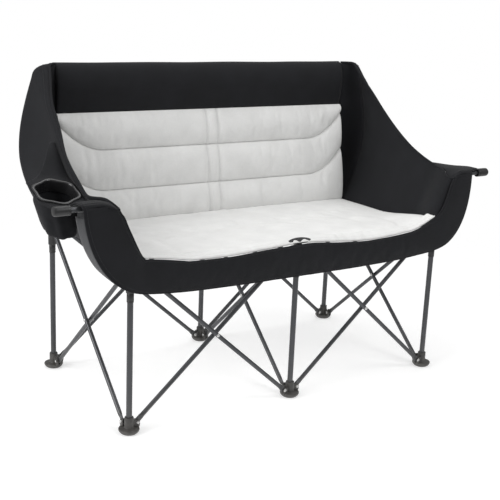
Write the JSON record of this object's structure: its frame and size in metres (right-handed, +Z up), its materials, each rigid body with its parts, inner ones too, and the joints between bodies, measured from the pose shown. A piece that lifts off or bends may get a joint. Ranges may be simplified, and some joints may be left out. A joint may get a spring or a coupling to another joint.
{
  "type": "folding camping loveseat",
  "caption": "Folding camp loveseat: telescoping steel legs joined by crossed bars carry a quilted pale seat and back in a dark fabric shell with padded arms and a cup holder.",
  "frame": {"origin": "on the floor, midway between the front and rear rows of feet and on the middle legs' plane", "axes": "+X to the right as seen from the front, across the seat; +Y to the rear; +Z up"},
  "size_m": [1.536, 0.61, 0.9735],
  "materials": {
    "powder_coated_steel": "gunmetal grey powder coat, satin",
    "rivet_steel": "zinc-plated rivet heads",
    "black_plastic": "moulded black plastic, fine grain",
    "dark_fabric": "charcoal-black woven polyester",
    "light_fabric": "warm light-grey woven polyester, quilted"
  },
  "bodies": {
    "rear_middle_lower": {"foot_rear_middle": "black_plastic", "leg_post_rear_middle": "powder_coated_steel"},
    "rear_left_lower": {"foot_rear_left": "black_plastic", "leg_post_rear_left": "powder_coated_steel"},
    "rear_right_lower": {"foot_rear_right": "black_plastic", "leg_post_rear_right": "powder_coated_steel"},
    "front_middle_lower": {"foot_front_middle": "black_plastic", "leg_post_front_middle": "powder_coated_steel"},
    "front_left_lower": {"foot_front_left": "black_plastic", "leg_post_front_left": "powder_coated_steel"},
    "front_right_lower": {"foot_front_right": "black_plastic", "leg_post_front_right": "powder_coated_steel"},
    "rear_middle_upper": {"hub_rear_middle": "black_plastic", "upper_tube_rear_middle": "powder_coated_steel", "back_pad": "light_fabric", "head_band": "dark_fabric", "back_cover": "dark_fabric"},
    "rear_left_upper": {"hub_rear_left": "black_plastic", "upper_tube_rear_left": "powder_coated_steel"},
    "rear_right_upper": {"hub_rear_right": "black_plastic", "upper_tube_rear_right": "powder_coated_steel"},
    "front_middle_upper": {"hub_front_middle": "black_plastic", "upper_tube_front_middle": "powder_coated_steel", "front_band": "dark_fabric", "seat_tab": "black_plastic"},
    "front_left_upper": {"hub_front_left": "black_plastic", "upper_tube_front_left": "powder_coated_steel", "arm_cap_left": "black_plastic"},
    "front_right_upper": {"hub_front_right": "black_plastic", "upper_tube_front_right": "powder_coated_steel", "arm_cap_right": "black_plastic"},
    "middle_bar_first": {"cross_bar_middle_first": "powder_coated_steel", "cross_rivet_middle": "rivet_steel"},
    "middle_bar_second": {"cross_bar_middle_second": "powder_coated_steel"},
    "rear_left_bar_first": {"cross_bar_rear_left_first": "powder_coated_steel", "cross_rivet_rear_left": "rivet_steel"},
    "rear_left_bar_second": {"cross_bar_rear_left_second": "powder_coated_steel"},
    "rear_right_bar_first": {"cross_bar_rear_right_first": "powder_coated_steel", "cross_rivet_rear_right": "rivet_steel"},
    "rear_right_bar_second": {"cross_bar_rear_right_second": "powder_coated_steel"},
    "front_left_bar_first": {"cross_bar_front_left_first": "powder_coated_steel", "cross_rivet_front_left": "rivet_steel"},
    "front_left_bar_second": {"cross_bar_front_left_second": "powder_coated_steel"},
    "front_right_bar_first": {"cross_bar_front_right_first": "powder_coated_steel", "cross_rivet_front_right": "rivet_steel"},
    "front_right_bar_second": {"cross_bar_front_right_second": "powder_coated_steel"},
    "side_left_bar_first": {"cross_bar_side_left_first": "powder_coated_steel", "cross_rivet_side_left": "rivet_steel"},
    "side_left_bar_second": {"cross_bar_side_left_second": "powder_coated_steel"},
    "side_right_bar_first": {"cross_bar_side_right_first": "powder_coated_steel", "cross_rivet_side_right": "rivet_steel"},
    "side_right_bar_second": {"cross_bar_side_right_second": "powder_coated_steel"},
    "seat_rear": {"seat_pad_rear": "light_fabric"},
    "seat_front": {"seat_pad_front": "light_fabric"},
    "arm_left": {"side_panel_left": "dark_fabric", "armrest_left": "dark_fabric", "cup_ring": "black_plastic", "cup_pouch": "dark_fabric"},
    "arm_right": {"side_panel_right": "dark_fabric", "armrest_right": "dark_fabric"}
  },
  "joints": [
    {"name": "fold", "type": "hinge", "parent": "rear_middle_lower", "child": "middle_bar_first", "pos_m": [0, 0.249, 0.026], "axis": [-1, 0, 0], "range_deg": [0, 43.4]},
    {"name": "middle_crossing", "type": "hinge", "parent": "middle_bar_first", "child": "middle_bar_second", "pos_m": [0, 0, 0.24725], "axis": [1, 0, 0], "range_deg": [0, 86.9]},
    {"name": "front_middle_foot_pivot", "type": "hinge", "parent": "middle_bar_second", "child": "front_middle_lower", "pos_m": [0, -0.249, 0.026], "axis": [-1, 0, 0], "range_deg": [0, 43.5]},
    {"name": "front_middle_hub_pivot", "type": "hinge", "parent": "middle_bar_first", "child": "front_middle_upper", "pos_m": [0, -0.249, 0.4685], "axis": [1, 0, 0], "range_deg": [0, 43.5], "deforming": ["front_band"]},
    {"name": "rear_middle_hub_pivot", "type": "hinge", "parent": "middle_bar_second", "child": "rear_middle_upper", "pos_m": [0, 0.249, 0.4685], "axis": [-1, 0, 0], "range_deg": [0, 43.5], "deforming": ["back_pad", "head_band", "back_cover"]},
    {"name": "rear_left_bar_foot", "type": "hinge", "parent": "rear_middle_lower", "child": "rear_left_bar_first", "pos_m": [-0.026, 0.275, 0.026], "axis": [0, 1, 0], "range_deg": [0, 43.5]},
    {"name": "rear_left_crossing", "type": "hinge", "parent": "rear_left_bar_first", "child": "rear_left_bar_second", "pos_m": [-0.275, 0.275, 0.24725], "axis": [0, -1, 0], "range_deg": [0, 86.9]},
    {"name": "rear_left_foot_pivot", "type": "hinge", "parent": "rear_left_bar_second", "child": "rear_left_lower", "pos_m": [-0.524, 0.275, 0.026], "axis": [0, 1, 0], "range_deg": [0, 43.5]},
    {"name": "rear_left_hub_pivot", "type": "hinge", "parent": "rear_left_bar_first", "child": "rear_left_upper", "pos_m": [-0.524, 0.275, 0.4685], "axis": [0, -1, 0], "range_deg": [0, 43.5]},
    {"name": "rear_right_bar_foot", "type": "hinge", "parent": "rear_middle_lower", "child": "rear_right_bar_first", "pos_m": [0.026, 0.275, 0.026], "axis": [0, -1, 0], "range_deg": [0, 43.5]},
    {"name": "rear_right_crossing", "type": "hinge", "parent": "rear_right_bar_first", "child": "rear_right_bar_second", "pos_m": [0.275, 0.275, 0.24725], "axis": [0, 1, 0], "range_deg": [0, 86.9]},
    {"name": "rear_right_foot_pivot", "type": "hinge", "parent": "rear_right_bar_second", "child": "rear_right_lower", "pos_m": [0.524, 0.275, 0.026], "axis": [0, -1, 0], "range_deg": [0, 43.5]},
    {"name": "rear_right_hub_pivot", "type": "hinge", "parent": "rear_right_bar_first", "child": "rear_right_upper", "pos_m": [0.524, 0.275, 0.4685], "axis": [0, 1, 0], "range_deg": [0, 43.5]},
    {"name": "front_left_bar_foot", "type": "hinge", "parent": "front_middle_lower", "child": "front_left_bar_first", "pos_m": [-0.026, -0.275, 0.026], "axis": [0, 1, 0], "range_deg": [0, 43.5]},
    {"name": "front_left_crossing", "type": "hinge", "parent": "front_left_bar_first", "child": "front_left_bar_second", "pos_m": [-0.275, -0.275, 0.24725], "axis": [0, -1, 0], "range_deg": [0, 86.9]},
    {"name": "front_left_foot_pivot", "type": "hinge", "parent": "front_left_bar_second", "child": "front_left_lower", "pos_m": [-0.524, -0.275, 0.026], "axis": [0, 1, 0], "range_deg": [0, 43.5]},
    {"name": "front_left_hub_pivot", "type": "hinge", "parent": "front_left_bar_first", "child": "front_left_upper", "pos_m": [-0.524, -0.275, 0.4685], "axis": [0, -1, 0], "range_deg": [0, 43.5]},
    {"name": "front_right_bar_foot", "type": "hinge", "parent": "front_middle_lower", "child": "front_right_bar_first", "pos_m": [0.026, -0.275, 0.026], "axis": [0, -1, 0], "range_deg": [0, 43.5]},
    {"name": "front_right_crossing", "type": "hinge", "parent": "front_right_bar_first", "child": "front_right_bar_second", "pos_m": [0.275, -0.275, 0.24725], "axis": [0, 1, 0], "range_deg": [0, 86.9]},
    {"name": "front_right_foot_pivot", "type": "hinge", "parent": "front_right_bar_second", "child": "front_right_lower", "pos_m": [0.524, -0.275, 0.026], "axis": [0, -1, 0], "range_deg": [0, 43.5]},
    {"name": "front_right_hub_pivot", "type": "hinge", "parent": "front_right_bar_first", "child": "front_right_upper", "pos_m": [0.524, -0.275, 0.4685], "axis": [0, 1, 0], "range_deg": [0, 43.5]},
    {"name": "side_left_bar_foot", "type": "hinge", "parent": "rear_left_lower", "child": "side_left_bar_first", "pos_m": [-0.55, 0.249, 0.026], "axis": [-1, 0, 0], "range_deg": [0, 43.5]},
    {"name": "side_left_crossing", "type": "hinge", "parent": "side_left_bar_first", "child": "side_left_bar_second", "pos_m": [-0.55, 0, 0.24725], "axis": [1, 0, 0], "range_deg": [0, 86.9]},
    {"name": "side_right_bar_foot", "type": "hinge", "parent": "rear_right_lower", "child": "side_right_bar_first", "pos_m": [0.55, 0.249, 0.026], "axis": [-1, 0, 0], "range_deg": [0, 43.5]},
    {"name": "side_right_crossing", "type": "hinge", "parent": "side_right_bar_first", "child": "side_right_bar_second", "pos_m": [0.55, 0, 0.24725], "axis": [1, 0, 0], "range_deg": [0, 86.9]},
    {"name": "seat_rear_hem", "type": "hinge", "parent": "rear_middle_upper", "child": "seat_rear", "pos_m": [0, 0.201, 0.4775], "axis": [-1, 0, 0], "range_deg": [0, 84.32], "deforming": ["seat_pad_rear"]},
    {"name": "seat_crease", "type": "hinge", "parent": "seat_rear", "child": "seat_front", "pos_m": [0, -0.04375, 0.4775], "axis": [1, 0, 0], "range_deg": [0, 168.54], "deforming": ["seat_pad_front"]},
    {"name": "arm_left_gather", "type": "slide", "parent": "rear_left_upper", "child": "arm_left", "axis": [0, 1, 0], "range_m": [0, 0.365], "deforming": ["side_panel_left", "armrest_left"]},
    {"name": "arm_right_gather", "type": "slide", "parent": "rear_right_upper", "child": "arm_right", "axis": [0, 1, 0], "range_m": [0, 0.365], "deforming": ["side_panel_right", "armrest_right"]}
  ],
  "couplings": [
    {"joint": "middle_crossing", "follows": "fold", "ratio": 2},
    {"joint": "front_middle_foot_pivot", "follows": "fold", "ratio": 1},
    {"joint": "front_middle_hub_pivot", "follows": "fold", "ratio": 1},
    {"joint": "rear_middle_hub_pivot", "follows": "fold", "ratio": 1},
    {"joint": "rear_left_bar_foot", "follows": "fold", "ratio": 1},
    {"joint": "rear_left_crossing", "follows": "fold", "ratio": 2},
    {"joint": "rear_left_foot_pivot", "follows": "fold", "ratio": 1},
    {"joint": "rear_left_hub_pivot", "follows": "fold", "ratio": 1},
    {"joint": "rear_right_bar_foot", "follows": "fold", "ratio": 1},
    {"joint": "rear_right_crossing", "follows": "fold", "ratio": 2},
    {"joint": "rear_right_foot_pivot", "follows": "fold", "ratio": 1},
    {"joint": "rear_right_hub_pivot", "follows": "fold", "ratio": 1},
    {"joint": "front_left_bar_foot", "follows": "fold", "ratio": 1},
    {"joint": "front_left_crossing", "follows": "fold", "ratio": 2},
    {"joint": "front_left_foot_pivot", "follows": "fold", "ratio": 1},
    {"joint": "front_left_hub_pivot", "follows": "fold", "ratio": 1},
    {"joint": "front_right_bar_foot", "follows": "fold", "ratio": 1},
    {"joint": "front_right_crossing", "follows": "fold", "ratio": 2},
    {"joint": "front_right_foot_pivot", "follows": "fold", "ratio": 1},
    {"joint": "front_right_hub_pivot", "follows": "fold", "ratio": 1},
    {"joint": "side_left_bar_foot", "follows": "fold", "ratio": 1},
    {"joint": "side_left_crossing", "follows": "fold", "ratio": 2},
    {"joint": "side_right_bar_foot", "follows": "fold", "ratio": 1},
    {"joint": "side_right_crossing", "follows": "fold", "ratio": 2},
    {"joint": "seat_rear_hem", "follows": "fold", "ratio": 1.9406},
    {"joint": "seat_crease", "follows": "fold", "ratio": 3.8812},
    {"joint": "arm_left_gather", "follows": "fold", "m_per_rad": 0.48055},
    {"joint": "arm_right_gather", "follows": "fold", "m_per_rad": 0.48055}
  ]
}
